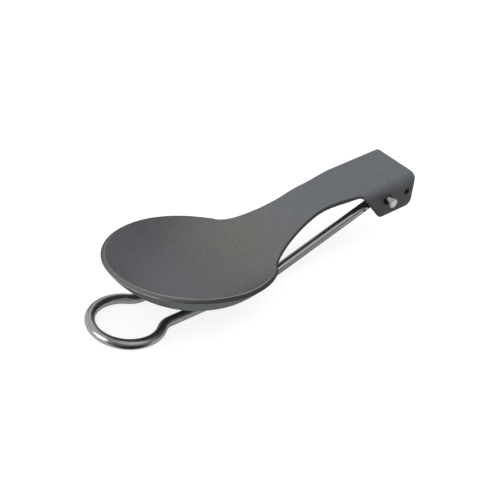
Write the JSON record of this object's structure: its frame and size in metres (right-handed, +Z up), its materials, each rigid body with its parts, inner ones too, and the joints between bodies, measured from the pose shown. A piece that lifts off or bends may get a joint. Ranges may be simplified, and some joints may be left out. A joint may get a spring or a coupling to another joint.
{
  "type": "folding spoon",
  "caption": "Folding camping spoon: pressed aluminium bowl with a cranked neck and a channel, in which a bent wire handle with a round finger loop pivots and folds under the bowl.",
  "frame": {"origin": "middle of the folded spoon's footprint, on the table that it lies on, under the level run of the wire", "axes": "+X runs along the folded spoon from the bowl's tip and the finger loop towards the channel with the pivot, +Y across it, +Z up, out of the bowl's open side"},
  "size_m": [0.1064, 0.0402, 0.02],
  "materials": {
    "head": "hard-anodised, dark grey, satin",
    "wire": "polished stainless wire"
  },
  "bodies": {
    "head": {"spoon_head": "head"},
    "handle": {"wire_handle": "wire"}
  },
  "joints": [
    {"name": "handle_fold", "type": "hinge", "parent": "head", "child": "handle", "pos_m": [0.04269, 0, 0.0145], "axis": [0, -1, 0], "range_deg": [0, 165.4]}
  ]
}
